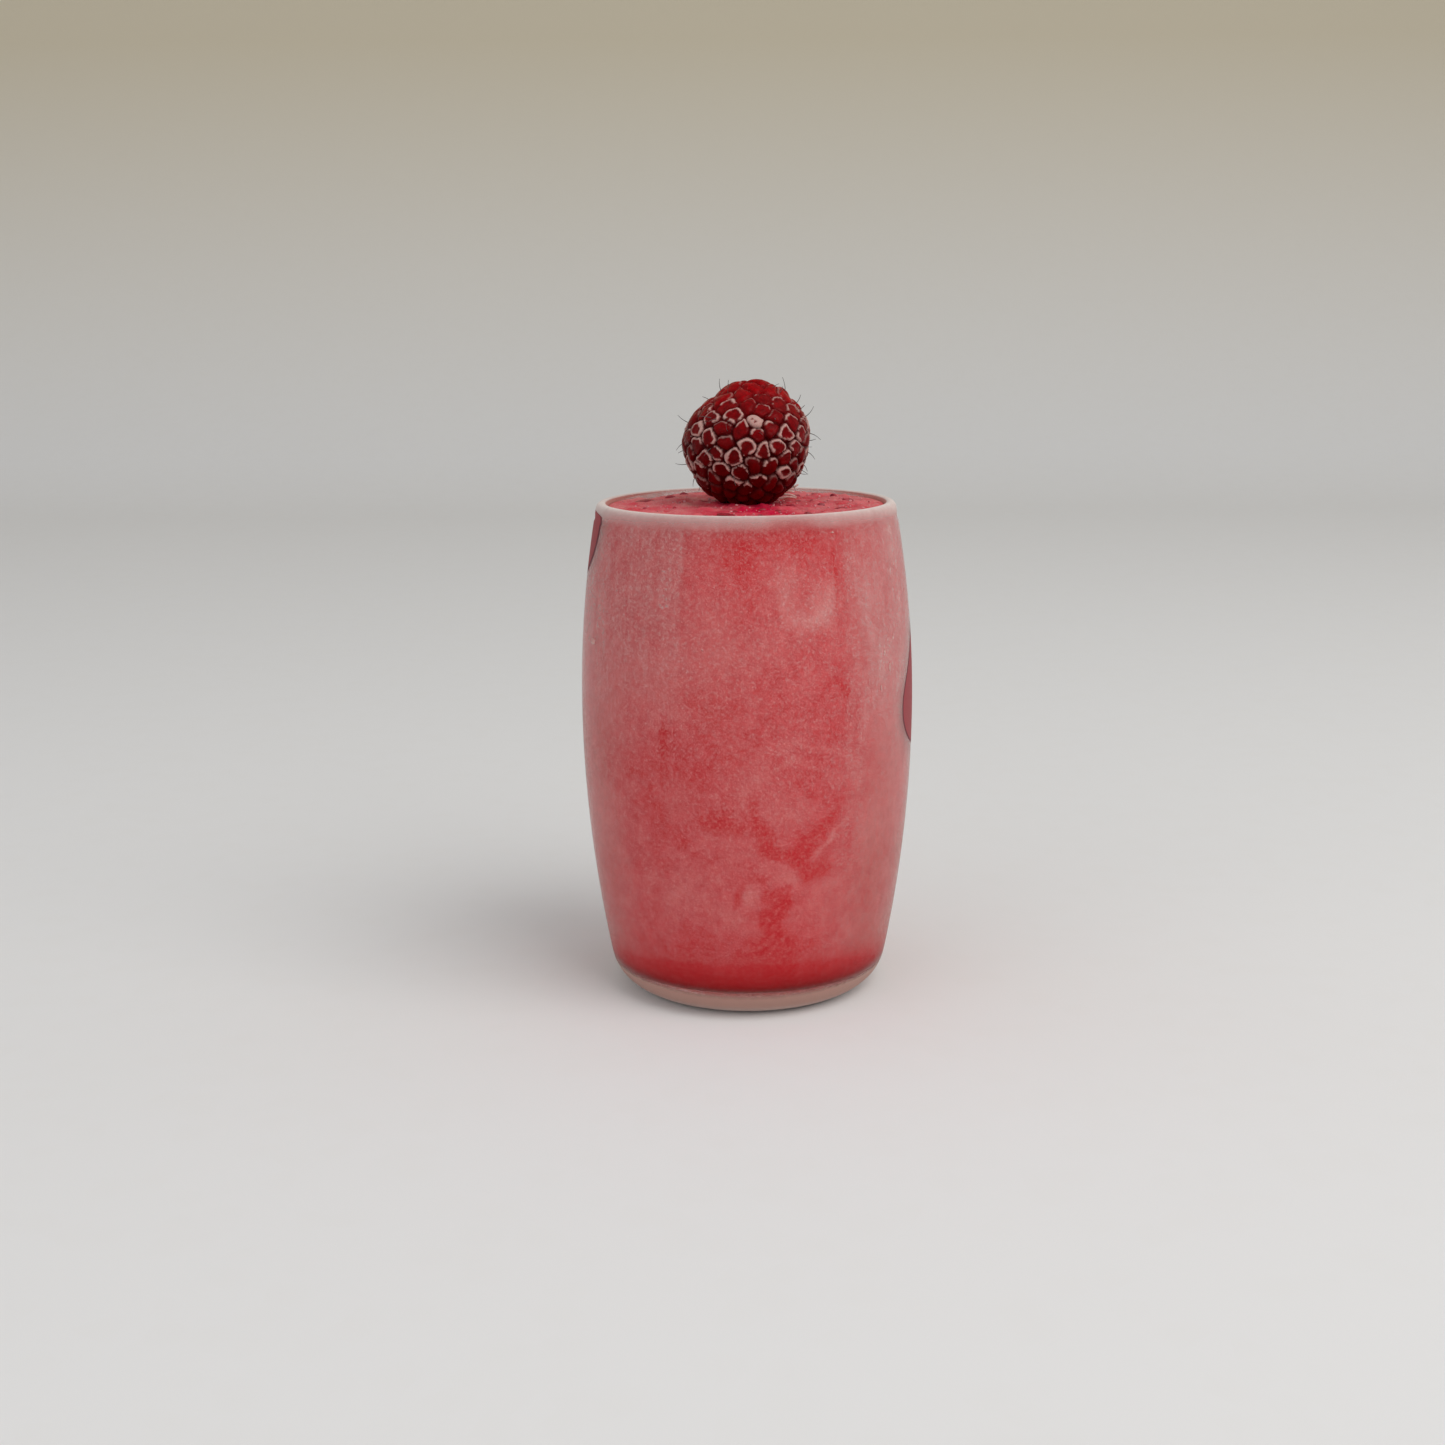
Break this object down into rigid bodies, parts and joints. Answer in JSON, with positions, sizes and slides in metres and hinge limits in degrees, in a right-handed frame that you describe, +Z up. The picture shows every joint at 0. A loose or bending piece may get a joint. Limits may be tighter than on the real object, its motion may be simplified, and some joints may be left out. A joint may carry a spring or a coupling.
{
  "type": "raspberry sorbet in a glass",
  "caption": "Barrel-shaped frosted glass filled to the rim with pink raspberry sorbet, with a frozen raspberry resting on top.",
  "frame": {"origin": "centre of the glass's flat base, on the surface that it stands on", "axes": "+Z up along the glass's axis, -Y towards the front that the picture shows"},
  "size_m": [0.0562, 0.0562, 0.1034],
  "materials": {
    "frosted_glass": "clear glass frosted over with fine condensation",
    "raspberry_sorbet": "icy, matt and slightly translucent, mottled pink and red",
    "raspberry_skin": "dark red skin with pale frost on the drupelets' shoulders"
  },
  "bodies": {
    "root": {"glass": "frosted_glass", "sorbet": "raspberry_sorbet", "raspberry": "raspberry_skin"}
  },
  "joints": []
}
